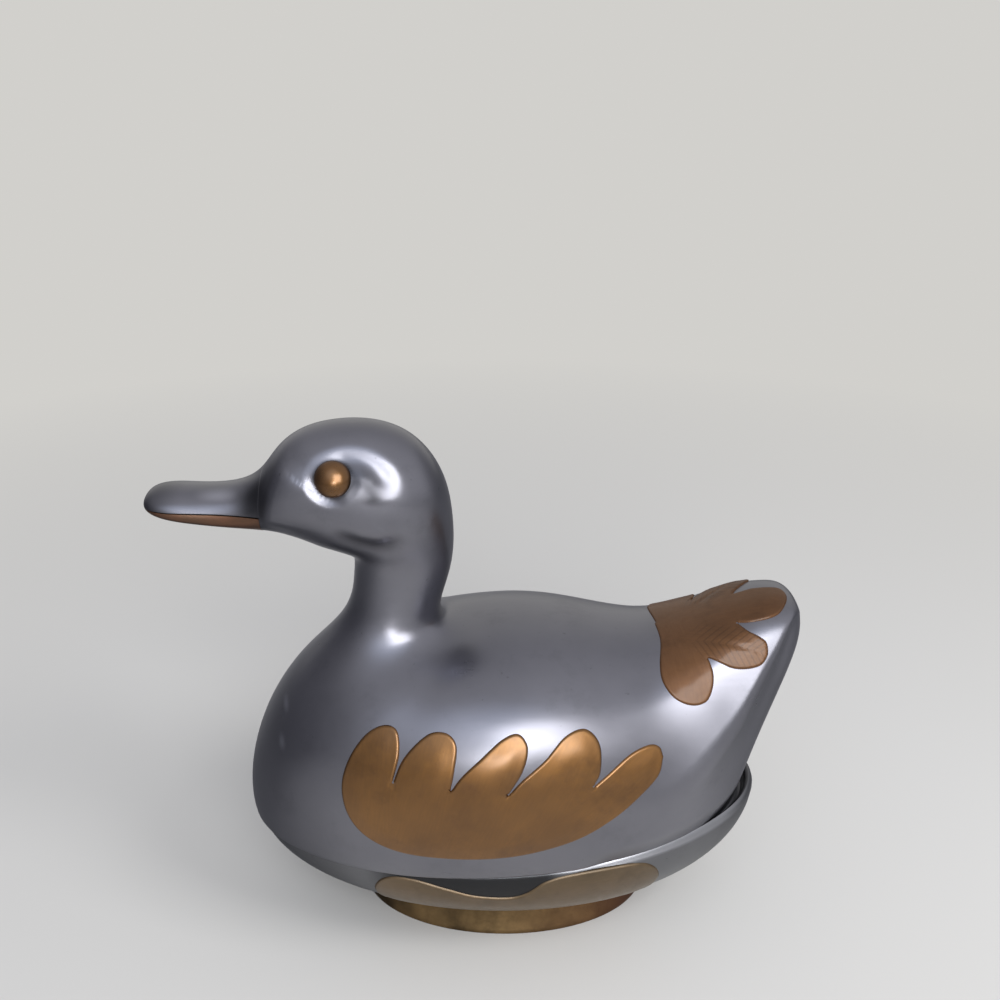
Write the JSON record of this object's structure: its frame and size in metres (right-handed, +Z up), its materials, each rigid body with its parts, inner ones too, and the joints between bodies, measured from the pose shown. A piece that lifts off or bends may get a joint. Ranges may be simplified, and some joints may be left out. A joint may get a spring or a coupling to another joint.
{
  "type": "duck trinket dish",
  "caption": "Lidded duck-shaped trinket dish: an oval metal bowl on a low foot ring, with the duck's back, neck and head as a lift-off lid and brass overlays.",
  "frame": {"origin": "middle of the bounding box's underside, on the surface the foot stands on", "axes": "+X from bill to tail, +Y to the duck's right side, +Z up"},
  "size_m": [0.14, 0.0692, 0.1171],
  "materials": {
    "pewter": "hand-polished grey",
    "brass": "aged satin",
    "coppery_brass": "aged satin"
  },
  "bodies": {
    "dish_body": {"dish": "pewter", "foot_ring": "brass", "lid_bezel": "brass", "wave_left": "brass", "wave_right": "brass"},
    "lid": {"lid_shell": "pewter", "head_neck": "pewter", "lower_bill": "coppery_brass", "eye_left": "brass", "eye_right": "brass", "wing_left": "brass", "wing_right": "brass", "tail_fan": "brass"}
  },
  "joints": [
    {"name": "lid_lift", "type": "slide", "parent": "dish_body", "child": "lid", "axis": [0, 0, 1], "range_m": [0, 0.06]}
  ]
}
